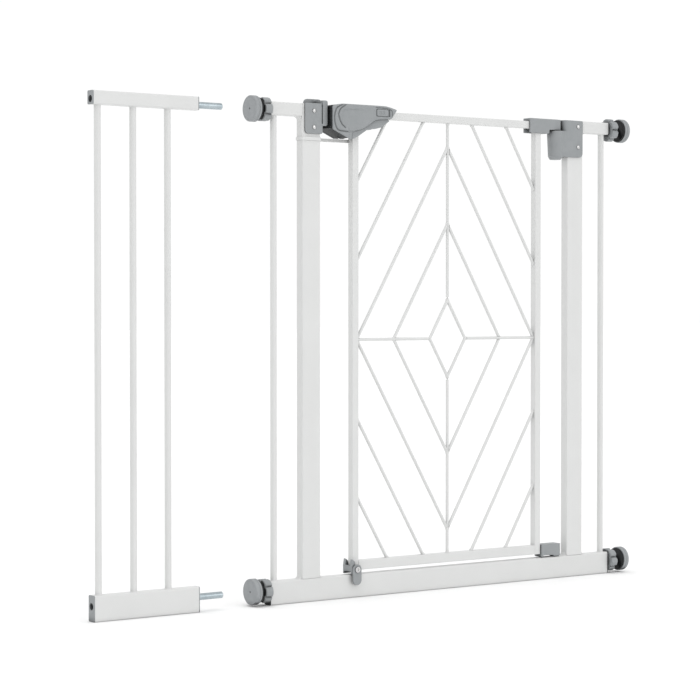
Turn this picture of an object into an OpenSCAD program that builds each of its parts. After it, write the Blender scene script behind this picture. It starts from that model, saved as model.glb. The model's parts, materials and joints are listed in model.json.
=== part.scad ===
// Pressure-mounted walk-through safety gate with a lattice door, and its narrow extension panel.
// Origin: centre of the bottom rail's underside, on the floor. +X towards the hinge, -Y to the front.

/* [Gate frame] */
// Height of the gate from the floor to the top of the rails
gate_h = 760; // [750:1:800]
// Length of the bottom rail
rail_length = 685; // [676:1:720]
// Depth of the frame's tubes, front to back
frame_depth = 16; // [15:0.5:16]
// Height of the bottom rail
sill_h = 36; // [30:1:36]
// Height of the two short top rails
top_rail_h = 20; // [20:1:24]
// Width of a post
post_w = 34; // [32:1:36]
// Distance between the two posts
walk_w = 502; // [500:1:502]
// Wall thickness of the frame's tubes
frame_wall = 1.5; // [1.2:0.1:2]
// Diameter of the upright round bars
bar_d = 10; // [8:0.5:11]

/* [Door] */
// Left edge of the door
door_left = -189; // [-189:0.5:-187]
// Right edge of the door
door_right = 195; // [194:0.5:195]
// Height of the door's lower edge above the floor
door_bottom = 42; // [42:0.5:44]
// Side of the door's square tubes
door_tube = 12; // [12:0.5:12]
// Height of the door's bottom rail
door_sill_h = 15; // [12:0.5:16]
// Diameter of the lattice rods
rod_d = 5; // [4:0.5:6]
// Half width of the innermost diamond
diamond_w = 36; // [34:1:38]
// Half height of the innermost diamond
diamond_h = 61; // [58:1:62]

/* [Hinge] */
// Distance of the hinge axis from the centre of the gate
hinge_x = 231; // [231:0.5:231.5]
// Diameter of the hinge pins
pin_d = 8; // [6:0.5:8]
// Outer radius of the closer's cup
cup_r = 14; // [13:0.5:14]

/* [Pressure mounts] */
// Diameter of a wall pad
pad_d = 39.5; // [36:0.5:40]
// Thickness of a wall pad
pad_t = 10.5; // [8:0.5:11]
// Diameter of an adjusting knob over its lobes
knob_d = 38; // [36:0.5:41]
// Length of an adjusting knob
knob_l = 13; // [12:0.5:14]
// Gap between a left-hand knob and its pad
left_pad_gap = 7.5; // [7:0.5:9]
// Gap between a right-hand knob and its pad
right_pad_gap = 14; // [10:0.5:15]
// Diameter of the spindles
spindle_d = 10; // [9:0.5:10]
// Height of the lower spindles above the floor
low_spindle_z = 22; // [21:0.5:23]

/* [Extension panel] */
// Width of the panel without its pegs
panel_w = 175; // [170:1:180]
// Right end of the panel's tubes
panel_right = -470.5; // [-480:0.5:-468]
// Height of the panel's bottom tube
panel_sill_h = 38; // [34:1:40]
// Length of the joining pegs
peg_l = 45; // [40:1:46]
// Diameter of the joining pegs
peg_d = 10; // [8:0.5:10]

/* [Hidden] */
$fn = 48;

coat = [0.88, 0.88, 0.87];
grey = [0.62, 0.64, 0.65];
dark = [0.16, 0.17, 0.18];
steel = [0.78, 0.80, 0.82];
zinc = [0.72, 0.78, 0.82];

// Radial clearance of every shaft that turns or slides
running_gap = 0.06;
// Gap between faces that move past each other
air_gap = 0.4;
frame_front = -frame_depth / 2;
post_x = walk_w / 2;
high_spindle_z = gate_h - top_rail_h / 2 - 2;
door_top = gate_h - 5;
door_mid_x = (door_left + door_right) / 2;
door_open_left = door_left + door_tube;
door_open_right = door_right - door_tube;
door_open_low = door_bottom + door_sill_h;
door_open_high = door_top - door_tube;
door_mid_z = (door_open_low + door_open_high) / 2;
door_half = door_tube / 2;

// ---------- helpers ----------

// Rounded rectangle centred on the origin, with true arcs
module round_rect(w, h, r) {
  square([w - 2 * r, h], center = true);
  square([w, h - 2 * r], center = true);
  for (x = [-1, 1], y = [-1, 1])
    translate([x * (w / 2 - r), y * (h / 2 - r)])
      circle(r = r);
}

// Section of a hollow tube, or of a solid bar when wall is 0
module tube_section(w, h, wall, r = 2) {
  difference() {
    round_rect(w, h, r);
    if (wall > 0)
      round_rect(w - 2 * wall, h - 2 * wall, max(r - wall, 0.4));
  }
}

// Extrudes a section drawn in (Y, Z) along X from x0 to x1
module along_x(x0, x1) {
  translate([x0, 0, 0])
    rotate([90, 0, 90])
      linear_extrude(x1 - x0)
        children();
}

// Extrudes an outline drawn in (X, Z) along Y from y0 to y1
module along_y(y0, y1) {
  translate([0, y1, 0])
    rotate([90, 0, 0])
      linear_extrude(y1 - y0)
        children();
}

// Box given by its two extreme corners
module block(low, high) {
  translate(low)
    cube(high - low);
}

// Cylinder along X or along Y
module rod_x(x0, x1, y, z, d) {
  translate([x0, y, z])
    rotate([0, 90, 0])
      cylinder(d = d, h = x1 - x0);
}
module rod_y(y0, y1, x, z, d) {
  translate([x, y0, z])
    rotate([-90, 0, 0])
      cylinder(d = d, h = y1 - y0);
}

// Concave weld fillet in the corner at (x, z), filling towards sx and sz
module weld_fillet(x, z, sx, sz, r, depth) {
  along_y(-depth / 2, depth / 2)
    translate([x, z])
      difference() {
        scale([sx, sz])
          square(r);
        translate([sx * r, sz * r])
          circle(r = r);
      }
}

// Outline with its corners rounded: each point is [x, z, how far back the rounding starts]
function unit(v) = v / norm(v);
function at(p, i) = let(q = p[(i + len(p)) % len(p)]) [q[0], q[1]];
function corner(a, b, c, back) =
  back == 0 ? [b] :
  let(from = b + unit(a - b) * back, to = b + unit(c - b) * back)
  [for (s = [0 : 4]) let(t = s / 4)
    pow(1 - t, 2) * from + 2 * t * (1 - t) * b + pow(t, 2) * to];
function rounded(p) =
  [for (i = [0 : len(p) - 1]) each corner(at(p, i - 1), at(p, i), at(p, i + 1), p[i][2])];

// The same outline, drawn in by a constant distance; its points run anticlockwise
function inward(a, b) = let(d = unit(b - a)) [-d[1], d[0]];
function inset(p, by) =
  [for (i = [0 : len(p) - 1])
    let(m = inward(at(p, i - 1), at(p, i)), n = inward(at(p, i), at(p, i + 1)))
    at(p, i) + by * (m + n) / (1 + m * n)];

// ---------- gate frame ----------

module bottom_rail() {
  color(coat)
    difference() {
      along_x(-rail_length / 2, rail_length / 2)
        translate([0, sill_h / 2])
          tube_section(frame_depth, sill_h, frame_wall);
      translate([hinge_x, 0, sill_h - 5])
        cylinder(d = bush_d, h = 10);
    }
}

// One post, closed at the top
module post(side) {
  color(coat)
    difference() {
      translate([side * (post_x + post_w / 2), 0, sill_h])
        linear_extrude(gate_h - sill_h)
          round_rect(post_w, frame_depth, 2);
      translate([side * (post_x + post_w / 2), 0, sill_h])
        linear_extrude(gate_h - sill_h - 2)
          round_rect(post_w - 2 * frame_wall, frame_depth - 2 * frame_wall, 0.6);
    }
}
module left_post() { post(-1); }
module right_post() { post(1); }

// Weld fillets at the foot of each post and under each top rail
module post_weld_fillets() {
  outer = post_x + post_w;
  depth = frame_depth - 4;
  color(coat)
    for (side = [-1, 1]) {
      weld_fillet(side * outer, sill_h, side, 1, 6, depth);
      weld_fillet(side * post_x, sill_h, -side, 1, 6, depth);
      weld_fillet(side * outer, gate_h - top_rail_h, side, -1, 7, depth);
    }
}

module top_rail(side) {
  inner = post_x + post_w;
  x = side > 0 ? [inner, rail_length / 2] : [-rail_length / 2, -inner];
  color(coat)
    along_x(x[0], x[1])
      translate([0, gate_h - top_rail_h / 2])
        tube_section(frame_depth, top_rail_h, frame_wall);
}
module left_top_rail() { top_rail(-1); }
module right_top_rail() { top_rail(1); }

module outer_bar(side) {
  color(coat)
    translate([side * (rail_length / 2 - bar_d), 0, sill_h])
      cylinder(d = bar_d, h = gate_h - top_rail_h - sill_h);
}
module left_outer_bar() { outer_bar(-1); }
module right_outer_bar() { outer_bar(1); }

// Guide bush in a tube's end: a flange and a plug, bored for a shaft
module end_plug(end_x, side, mid_z, z, h, bore_d, depth) {
  wall_gap = frame_wall + 0.1;
  flange = 1.5;
  difference() {
    union() {
      mirror([side > 0 ? 0 : 1, 0, 0]) {
        along_x(side * end_x, side * end_x + flange)
          translate([0, mid_z])
            round_rect(frame_depth, h, 2);
        along_x(side * end_x - 18, side * end_x)
          translate([0, mid_z])
            round_rect(frame_depth - 2 * wall_gap, h - 2 * wall_gap, 0.5);
      }
    }
    if (side > 0)
      rod_x(end_x + flange - depth, end_x + flange + 1, 0, z, bore_d);
    else
      rod_x(end_x - flange - 1, end_x - flange + depth, 0, z, bore_d);
  }
}

module rail_end_plugs() {
  end = rail_length / 2;
  bore = spindle_d + 2 * running_gap;
  color(dark)
    for (side = [-1, 1]) {
      end_plug(side * end, side, sill_h / 2, low_spindle_z, sill_h, bore, 40);
      end_plug(side * end, side, gate_h - top_rail_h / 2, high_spindle_z, top_rail_h, bore, 40);
    }
}

// ---------- latch catch on the left post ----------

catch_t = 2.6;
catch_low = gate_h - 45.5;
catch_high = gate_h + 1;
catch_left = -post_x - post_w + 4;
catch_web = 2.5;
strike_low = gate_h - 33;
strike_left = -post_x + catch_web;
strike_right = -post_x + 11.4;
pocket_half = 8;
lip_t = 3.5;
catch_rivet_z = [gate_h - 10.5, gate_h - 35.5];
catch_rivet_x = -post_x - 13.5;
rivet_d = 4;

// Side plate of the catch, with its corners rounded
module catch_plate(y0, y1, left, top, top_round) {
  difference() {
    along_y(y0, y1)
      polygon(rounded([
        [left, catch_low, 6], [-post_x + catch_web, catch_low, 4],
        [-post_x + catch_web, top, 1], [left, top, top_round]
      ]));
    for (z = catch_rivet_z)
      rod_y(y0 - 1, y1 + 1, catch_rivet_x, z, rivet_d);
  }
}

// Upright lip beside the post, in front of or behind the bolt's pocket
module strike_lip(y0, y1, top) {
  along_y(y0, y1)
    polygon(rounded([
      [strike_left - 1.2, strike_low, 0], [strike_right, strike_low, 4],
      [strike_right, top, 3], [strike_left - 1.2, top, 0.8]
    ]));
}

module latch_catch() {
  color(grey)
    difference() {
      union() {
        catch_plate(frame_front - catch_t, frame_front, catch_left, catch_high, 3);
        catch_plate(-frame_front, -frame_front + catch_t, catch_left + 10, gate_h + 9, 8);
        block([-post_x, frame_front, catch_low + 4], [strike_left, -frame_front, gate_h + 6]);
        strike_lip(-pocket_half - lip_t, -pocket_half, gate_h + 6);
        strike_lip(pocket_half, pocket_half + lip_t, gate_h + 9);
      }
      // groove between the front plate and the strike
      block([strike_left - 1.7, frame_front - 5, strike_low + 3],
            [strike_left - 0.2, frame_front - 1.3, gate_h + 20]);
    }
}

// Dome-headed rivet along -Y, its head's face at y
module rivet(x, z, y, grip, head_d = 6.2) {
  translate([x, y, z])
    rotate([90, 0, 0]) {
      rotate_extrude()
        intersection() {
          translate([0, 1.6 - head_d])
            circle(r = head_d);
          square([head_d / 2, 1.6]);
        }
      translate([0, 0, -grip])
        cylinder(d = rivet_d - 0.1, h = grip);
    }
}

module catch_rivets() {
  color(steel)
    for (z = catch_rivet_z)
      rivet(catch_rivet_x, z, frame_front - catch_t, catch_t - 0.1);
}

// Thin steel band round the left post, with a tongue that stops the door from behind
strip_low = gate_h - 55.5;
strip_h = 5;
strip_t = 1.2;
tongue_y = door_half + 1;
module door_stop_strip() {
  color(coat)
    translate([0, 0, strip_low]) {
      linear_extrude(strip_h)
        translate([-post_x - post_w / 2, 0])
          difference() {
            round_rect(post_w + 2 * strip_t, frame_depth + 2 * strip_t, 2.5);
            round_rect(post_w, frame_depth, 2);
          }
      block([-post_x, tongue_y, 0], [door_left + 9, tongue_y + 1.6, strip_h]);
    }
}

// ---------- hinge bracket on the right post ----------

bracket_t = 3;
bracket_low = gate_h - 61;
bracket_high = gate_h;
bracket_right = post_x + post_w - 2.5;
cup_low = gate_h - 66;
cup_high = gate_h - 18.5;
cup_taper = 2;
cup_cavity_r = 10;
shield_r = 10;
hinge_rivet_z = [gate_h - 10, gate_h - 44];
hinge_rivet_x = post_x + 21;

module hinge_bracket() {
  front = frame_front - bracket_t;
  color(grey)
    difference() {
      union() {
        along_y(front, frame_front)
          polygon(rounded([
            [post_x, bracket_low, 0], [bracket_right, bracket_low, 8],
            [bracket_right, bracket_high, 3], [post_x, bracket_high, 0]
          ]));
        // wall that curls round behind the door's bracket
        translate([post_x, front + shield_r, cup_high])
          intersection() {
            difference() {
              cylinder(r = shield_r, h = bracket_high - cup_high);
              translate([0, 0, -1])
                cylinder(r = shield_r - bracket_t, h = 100);
            }
            translate([-shield_r, -shield_r, 0])
              cube([shield_r, shield_r, bracket_high - cup_high]);
          }
        // cup of the closer, and the web that joins it to the plate
        translate([hinge_x, 0, cup_low]) {
          cylinder(r1 = cup_r - cup_taper - 3, r2 = cup_r - cup_taper, h = 5);
          translate([0, 0, 5])
            cylinder(r1 = cup_r - cup_taper, r2 = cup_r, h = cup_high - cup_low - 5);
        }
        difference() {
          block([hinge_x, front, bracket_low], [post_x, frame_front + 6, cup_high]);
          block([post_x - 4, frame_front, bracket_low - 1], [post_x + 1, frame_front + 7, cup_high + 1]);
        }
        block([hinge_x + 4, 0, bracket_low], [post_x, -frame_front - 2, cup_high]);
      }
      translate([hinge_x, 0, cup_low + 6])
        cylinder(r = cup_cavity_r, h = cup_high - cup_low - 6 - 4);
      translate([hinge_x, 0, cup_low + 3])
        cylinder(d = pin_d + 2 * running_gap, h = cup_high);
      for (z = hinge_rivet_z)
        rod_y(front - 1, frame_front + 1, hinge_rivet_x, z, rivet_d);
    }
}

module hinge_rivets() {
  color(steel)
    for (z = hinge_rivet_z)
      rivet(hinge_rivet_x, z, frame_front - bracket_t, bracket_t - 0.1);
}

// Torsion spring of the closer: a stack of touching rings round the pin
spring_wire = 1.6;
spring_coils = 14;
module closer_spring() {
  color(steel)
    translate([hinge_x, 0, cup_low + 8])
      difference() {
        cylinder(r = pin_d / 2 + 1 + spring_wire, h = spring_coils * spring_wire);
        translate([0, 0, -1])
          cylinder(r = pin_d / 2 + 1, h = spring_coils * spring_wire + 2);
      }
}

bush_d = 12;
bush_flange_t = 0.7;
bush_low = sill_h - 14;
module lower_hinge_bush() {
  color(grey)
    translate([hinge_x, 0, 0])
      difference() {
        union() {
          translate([0, 0, bush_low])
            cylinder(d = bush_d - 0.1, h = sill_h - bush_low);
          translate([0, 0, sill_h])
            cylinder(d = frame_depth - 1, h = bush_flange_t);
        }
        translate([0, 0, bush_low + 2])
          cylinder(d = pin_d + 2 * running_gap, h = 40);
      }
}

// ---------- door ----------

module door_tube_at(x) {
  wall = 1.2;
  color(coat)
    translate([x + door_half, 0, door_bottom])
      difference() {
        linear_extrude(door_open_high - door_bottom)
          round_rect(door_tube, door_tube, 1.2);
        translate([0, 0, wall])
          linear_extrude(door_open_high - door_bottom)
            round_rect(door_tube - 2 * wall, door_tube - 2 * wall, 0.4);
      }
}
module door_left_tube() { door_tube_at(door_left); }
module door_right_tube() { door_tube_at(door_open_right); }

module door_top_rail() {
  color(coat)
    along_x(door_left, door_right)
      translate([0, door_top - door_half])
        tube_section(door_tube, door_tube, 1.2, 1.2);
}
module door_bottom_rail() {
  color(coat)
    along_x(door_open_left, door_open_right)
      translate([0, door_bottom + door_sill_h / 2])
        tube_section(door_tube, door_sill_h, 1.2, 1.2);
}

// The four centre rods: two upright, two level, from the innermost diamond to the door's tubes
module lattice_straight_rods() {
  side = norm([diamond_w, diamond_h]);
  up = diamond_h + rod_d / 2 * side / diamond_w;
  out = diamond_w + rod_d / 2 * side / diamond_h;
  color(coat) {
    for (z = [[door_open_low, door_mid_z - up], [door_mid_z + up, door_open_high]])
      translate([door_mid_x, 0, z[0]])
        cylinder(d = rod_d, h = z[1] - z[0]);
    for (x = [[door_open_left, door_mid_x - out], [door_mid_x + out, door_open_right]])
      rod_x(x[0], x[1], 0, door_mid_z, rod_d);
  }
}

// One straight side of a diamond in one quarter of the opening, cut off at the tubes.
// clear_x and clear_z leave room for the centre rods.
module diamond_side(k, sx, sz, clear_x, clear_z) {
  w = (2 * k + 1) * diamond_w;
  h = (2 * k + 1) * diamond_h;
  half_w = (door_open_right - door_open_left) / 2;
  half_h = (door_open_high - door_open_low) / 2;
  flip_x = sx > 0 ? 0 : 1;
  flip_z = sz > 0 ? 0 : 1;
  translate([door_mid_x, 0, door_mid_z])
    mirror([flip_x, 0, 0])
      mirror([0, 0, flip_z])
        intersection() {
          translate([w, 0, 0])
            rotate([0, -atan2(w, h), 0])
              translate([0, 0, -20])
                cylinder(d = rod_d, h = norm([w, h]) + 40);
          block([clear_x, -rod_d, clear_z], [half_w, rod_d, half_h]);
        }
}

module diamond(k, clear_x, clear_z) {
  color(coat)
    for (sx = [-1, 1], sz = [-1, 1])
      diamond_side(k, sx, sz, clear_x, clear_z);
}
module inner_diamond() { diamond(0, 0.01, 0.01); }
module middle_diamond() { diamond(1, rod_d / 2, rod_d / 2); }
module outer_diamond() { diamond(2, rod_d / 2, rod_d / 2); }
module corner_rods() {
  diamond(3, rod_d / 2, rod_d / 2);
  diamond(4, rod_d / 2, rod_d / 2);
}

// ---------- handle, on the door's upper left corner ----------

handle_half = 20;
shell_wall = 2.2;
core_right = door_left - 16;
core_left = door_left - 49.4;
lever_relief_z = strip_low + strip_h + 1.5;

// Housing outline, anticlockwise from its lower left corner, relative to [door_left, gate_h]
housing = [
  [-46.7, -37.5, 1.5], [-10.5, -53, 1], [-8.5, -40, 2], [9, -36, 6], [24, -28, 4],
  [33, -21, 5], [50, -18.6, 4], [65.5, -17.8, 2], [77.5, -2.5, 1.2], [58, 2.6, 8],
  [-30, 2.4, 8], [-46.7, -1.5, 1.5]
];
module housing_outline() {
  translate([door_left, gate_h])
    polygon(rounded(housing));
}
module housing_cavity() {
  translate([door_left, gate_h])
    polygon(inset(housing, shell_wall));
}

window_low = [door_left + 36, gate_h - 14];
window_high = [door_left + 62.2, gate_h - 3];
window_depth = 1.7;
slider_l = 21.8;
// Lower and upper face of the slider's stem
stem_z = [gate_h - 7.2, gate_h - 4.2];
lever_x = door_left + 17;
lever_z = gate_h - 21;
lever_pin_d = 3;
lever_pin_front = -handle_half + 1.3;
housing_screws = [[-30, -30], [-22, -8], [30, -10], [0, -6]];

// Half of the housing: side -1 is the front shell, 1 the back shell
module housing_half(side) {
  outer = side * handle_half;
  inner = side * 0.1;
  floor_y = side * (handle_half - 2.6);
  difference() {
    along_y(min(outer, inner), max(outer, inner))
      housing_outline();
    along_y(min(floor_y, -side), max(floor_y, -side))
      housing_cavity();
    // open at the left end and underneath, where the core shows
    along_y(min(floor_y, -side), max(floor_y, -side))
      translate([door_left, gate_h])
        polygon([[-60, -60], [-9, -60], [-8, -47], [-30, -34], [-30, -0.3], [-60, -0.3]]);
    // open underneath for the door's tube and for the lever
    block([core_right - 1, min(floor_y, -side), gate_h - 60],
          [door_left + 67, max(floor_y, -side), gate_h - 15]);
    // way for the door's top rail and the lattice rod beside the tip
    block([door_left - air_gap, -door_half - 0.1, door_open_high - 0.1],
          [door_left + 90, door_half + 0.1, door_top + 0.1]);
    block([door_left + 50, -rod_d, door_open_high - 10], [door_left + 80, rod_d, door_open_high]);
    rod_y(lever_pin_front - 0.1, handle_half + 1, lever_x, lever_z, lever_pin_d);
  }
}

module handle_front_shell() {
  color(grey)
    difference() {
      housing_half(-1);
      // recess of the slider, and the slot for its stem
      block([window_low[0], -handle_half - 1, window_low[1]],
            [window_high[0], -handle_half + window_depth, window_high[1]]);
      block([window_low[0] + 6, -handle_half, stem_z[0] - 0.3],
            [window_low[0] + 18.6, -handle_half + 3, stem_z[1] + 0.3]);
    }
}

module handle_back_shell() {
  color(grey)
    difference() {
      housing_half(1);
      block([core_left - 1, tongue_y - 2, strip_low - 3], [door_left + 12, handle_half + 1, lever_relief_z]);
      for (s = housing_screws)
        rod_y(handle_half - 3, handle_half + 1, door_left + s[0], gate_h + s[1], 3);
    }
}

// Dark inner casing: end wall, sloping floor and the guide of the bolt
bolt_half = 6.9;
bolt_low = gate_h - 34;
bolt_high = gate_h - 23;
core_half = handle_half - 2.8;
module handle_core() {
  color(dark)
    difference() {
      along_y(-core_half, core_half)
        translate([door_left, gate_h])
          polygon([
            [-49.4, -36], [-46, -37.2], [-16, -50], [-16, -46], [-30, -33],
            [-30, -9], [-16, -9], [-16, -0.4], [-46, -0.4], [-49.4, -2.5]
          ]);
      block([core_left - 1, -bolt_half - 0.1, bolt_low - 0.1],
            [core_right + 1, bolt_half + 0.1, bolt_high + 0.1]);
      block([core_left - 1, tongue_y - 2, strip_low - 3], [core_right + 1, 30, lever_relief_z]);
      // ribs on the end face
      for (i = [0 : 6])
        block([core_left - 1, -core_half - 1, gate_h - 32 + 4.2 * i],
              [core_left + 0.8, core_half + 1, gate_h - 31 + 4.2 * i]);
    }
}

module handle_screws() {
  color(steel)
    for (s = housing_screws)
      translate([door_left + s[0], 0, gate_h + s[1]])
        difference() {
          rod_y(handle_half - 2.4, handle_half - 0.4, 0, 0, 2.9);
          block([-1.2, handle_half - 1, -0.3], [1.2, handle_half, 0.3]);
        }
}

module lever_pin() {
  color(steel)
    rod_y(lever_pin_front, handle_half - 0.2, lever_x, lever_z, lever_pin_d - 0.04);
}
module lever_spring() {
  color(steel)
    difference() {
      rod_y(-5.5, 5.5, lever_x, lever_z - 0.001, 7);
      rod_y(-6, 6, lever_x, lever_z, 4.4);
    }
}

// Two cheeks inside the shells, joined by the finger grip under the top rail
lever_outline = [
  [-8, -30, 2], [-9.5, -52, 1], [4, -46, 4], [22, -34.6, 3], [27.5, -35.6, 1], [30, -32.6, 1],
  [35, -33.8, 1], [48.5, -30.7, 3], [64, -19.8, 1.5], [55, -16, 4], [22, -14, 5], [10, -15, 5]
];
cheek_outer = handle_half - 2.9;
cheek_inner = 13;
module lever_profile() {
  translate([door_left, gate_h])
    polygon(rounded(lever_outline));
}
module squeeze_lever() {
  color(grey)
    difference() {
      union() {
        along_y(-cheek_outer, -cheek_inner)
          lever_profile();
        along_y(cheek_inner, cheek_outer)
          lever_profile();
        intersection() {
          along_y(-cheek_outer, cheek_outer)
            difference() {
              lever_profile();
              translate([0, 3])
                lever_profile();
            }
          block([door_open_left + 5, -30, gate_h - 44], [door_left + 46, 30, gate_h - 25]);
        }
      }
      rod_y(-30, 30, lever_x, lever_z, lever_pin_d + 2 * running_gap);
      block([door_left - 20, 0, gate_h - 60], [door_left + 12, 30, lever_relief_z]);
    }
}

module lock_bolt() {
  color(dark)
    difference() {
      along_y(-bolt_half, bolt_half)
        translate([door_left, gate_h])
          polygon(rounded([
            [-49.2, -31.5, 1], [-46.5, -34, 1], [-9, -34, 0], [-9, -23, 0], [-49.2, -23, 1.5]
          ]));
      block([door_left - 30, -4, bolt_low + 3], [door_left - 12, 4, bolt_high + 1]);
    }
}

module thumb_slider() {
  low = window_low + [air_gap, air_gap];
  high = [low[0] + slider_l, window_high[1] - air_gap];
  pad_y = -handle_half - 0.8;
  color(grey)
    difference() {
      union() {
        along_y(pad_y, -handle_half + window_depth - 0.1)
          polygon(rounded([
            [low[0], low[1], 2], [high[0], low[1], 2], [high[0], high[1], 2], [low[0], high[1], 2]
          ]));
        block([low[0] + 6, -handle_half + 1, stem_z[0]], [low[0] + 14, -handle_half + 2.8, stem_z[1]]);
        block([low[0] + 4, -handle_half + 2.7, stem_z[0] - 0.2], [low[0] + 16, -handle_half + 4.2, stem_z[1] + 1.5]);
      }
      for (i = [0 : 3])
        block([low[0] + 5 + 3 * i, pad_y - 1, low[1] + 2], [low[0] + 6 + 3 * i, pad_y + 0.5, high[1] - 2]);
    }
}

// ---------- door's hinge parts ----------

top_bracket_half = 9;
top_bracket_left = door_right - 26;
module door_top_bracket() {
  low = gate_h - 24;
  step_low = gate_h - 17.5;
  step_x = door_right + 16;
  color(grey)
    difference() {
      union() {
        translate([0, 0, low])
          block([top_bracket_left, -top_bracket_half, 0], [step_x, top_bracket_half, gate_h - low]);
        block([step_x, -top_bracket_half, step_low], [hinge_x, top_bracket_half, gate_h]);
        translate([hinge_x, 0, step_low])
          cylinder(r = top_bracket_half, h = gate_h - step_low);
      }
      // channel over the door's top rail and right tube
      block([top_bracket_left - 1, -door_half - 0.05, door_open_high - 0.05],
            [door_right + 0.2, door_half + 0.05, door_top + 0.05]);
      block([top_bracket_left - 1, -door_half - 0.05, low - 1],
            [door_right + 0.2, door_half + 0.05, door_open_high]);
      translate([hinge_x, 0, low])
        cylinder(d = pin_d + 2 * running_gap, h = gate_h - low - 3);
      for (x = bracket_screw_x)
        rod_y(door_half, top_bracket_half + 1, x, bracket_screw_z, 3.5);
    }
}

block_half = 9.5;
block_low = sill_h + bush_flange_t + air_gap;
block_high = door_open_low + 0.5;
module lower_hinge_block() {
  color(grey)
    difference() {
      translate([0, 0, block_low])
        linear_extrude(block_high - block_low) {
          translate([(door_right + hinge_x + 5) / 2, 0])
            round_rect(hinge_x + 5 - door_right, 2 * block_half, 1.5);
          translate([hinge_x - 4.5, 0])
            circle(r = block_half);
        }
      translate([hinge_x, 0, block_low - 1])
        cylinder(d = pin_d + 2 * running_gap, h = block_high - block_low - 1.5);
      block([door_right + 4, -block_half - 1, block_low - 1], [hinge_x - 10, block_half - 2, block_low + 2]);
      rod_y(block_half - 3, block_half + 1, door_right + 10, block_low + 11, 3.5);
    }
}

// U-shaped clip under the door's left tube, with two ears that hug the tube
clip_left = door_left - 5.5;
clip_right = door_open_left - 0.8;
clip_half = 12;
clip_wall_y = 9;
clip_high = door_bottom + 8;
clip_floor_t = 1.8;
tab_x = (clip_left + clip_right) / 2;
tab_rivet_z = door_bottom + 1.8;
module bottom_clip() {
  color(grey)
    difference() {
      union() {
        block([clip_left, -clip_half, door_bottom - clip_floor_t], [clip_right, clip_half, clip_high]);
        block([clip_right - 1.5, -clip_wall_y - 1, sill_h + 0.6], [clip_right, clip_wall_y + 1, door_bottom]);
        for (y = [[-clip_half, -clip_wall_y], [clip_wall_y, clip_half]])
          block([clip_left, y[0], sill_h + 0.6], [clip_right, y[1], clip_high]);
        for (y = [[-clip_half, -door_half - 0.1], [door_half + 0.1, clip_half]])
          along_y(y[0], y[1])
            polygon([
              [clip_left, clip_high - 1], [clip_left + 7, clip_high - 1],
              [clip_left + 6, clip_high + 6], [clip_left + 1.5, clip_high + 10]
            ]);
      }
      block([door_left - 0.05, -door_half - 0.05, door_bottom],
            [clip_right + 1, door_half + 0.05, clip_high + 1]);
      rod_y(-clip_half - 1, -door_half + 0.5, tab_x, tab_rivet_z, rivet_d);
    }
}

bracket_screw_x = [door_right - 14, door_right + 6];
bracket_screw_z = gate_h - 11;
module bracket_screws() {
  color(steel) {
    for (x = bracket_screw_x)
      rod_y(door_half + 0.1, top_bracket_half - 0.4, x, bracket_screw_z, 3.4);
    rod_y(block_half - 2.9, block_half - 0.4, door_right + 10, block_low + 11, 3.4);
  }
}

module upper_hinge_pin() {
  color(steel)
    translate([hinge_x, 0, cup_low + 12])
      cylinder(d = pin_d, h = gate_h - 3.4 - cup_low - 12);
}
module lower_hinge_pin() {
  color(steel)
    translate([hinge_x, 0, bush_low + 2.4])
      cylinder(d = pin_d, h = block_high - 3 - bush_low - 2.4);
}

// ---------- turnable stop tab ----------

tab_w = 16;
tab_t = 3;
tab_front = -clip_half - air_gap - tab_t;
module stop_tab() {
  color(grey)
    difference() {
      along_y(tab_front, tab_front + tab_t)
        union() {
          translate([tab_x, tab_rivet_z])
            circle(d = tab_w);
          translate([tab_x, tab_rivet_z - 16])
            circle(d = tab_w);
          translate([tab_x - tab_w / 2, tab_rivet_z - 16])
            square([tab_w, 16]);
        }
      rod_y(tab_front - 1, tab_front + tab_t + 1, tab_x, tab_rivet_z, rivet_d + 2 * running_gap);
    }
}
module stop_tab_rivet() {
  color(steel) {
    difference() {
      rod_y(tab_front - 1.4, tab_front - 0.15, tab_x, tab_rivet_z, 9);
      rod_y(tab_front - 2, tab_front - 0.8, tab_x, tab_rivet_z, 4.4);
    }
    rod_y(tab_front - 0.15, -door_half, tab_x, tab_rivet_z, rivet_d);
  }
}

// ---------- pressure mounts: knob, spindle and wall pad ----------

flange_t = 1.5;
knob_x = rail_length / 2 + flange_t + air_gap;
knob_end = knob_x + knob_l;
groove_r = 4.2;

// Places one mount at the right or, mirrored, at the left
module mount_at(side, z) {
  mirror([side > 0 ? 0 : 1, 0, 0])
    translate([0, 0, z])
      children();
}

module knob(turn) {
  color(grey)
    difference() {
      translate([knob_x, 0, 0])
        rotate([0, 90, 0])
          rotate_extrude()
            polygon([
              [0, 0], [knob_d / 2 - 1.5, 0], [knob_d / 2, 1.5], [knob_d / 2, knob_l - 2],
              [knob_d / 2 - 2, knob_l], [0, knob_l]
            ]);
      for (i = [0 : 5])
        rotate([turn + 60 * i, 0, 0])
          rod_x(knob_x - 1, knob_x + knob_l + 1, 0, knob_d / 2 + 2, 2 * groove_r);
      rod_x(knob_x - 1, knob_x + knob_l + 1, 0, 0, spindle_d + 2 * running_gap);
    }
}

// Shaft with the round back plate that carries the pad
module spindle(gap) {
  pad_back = knob_end + gap;
  plate_t = 3;
  color(dark) {
    rod_x(rail_length / 2 - 44, pad_back + 3.5, 0, 0, spindle_d);
    rod_x(pad_back - plate_t, pad_back, 0, 0, pad_d - 3);
  }
}

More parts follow.
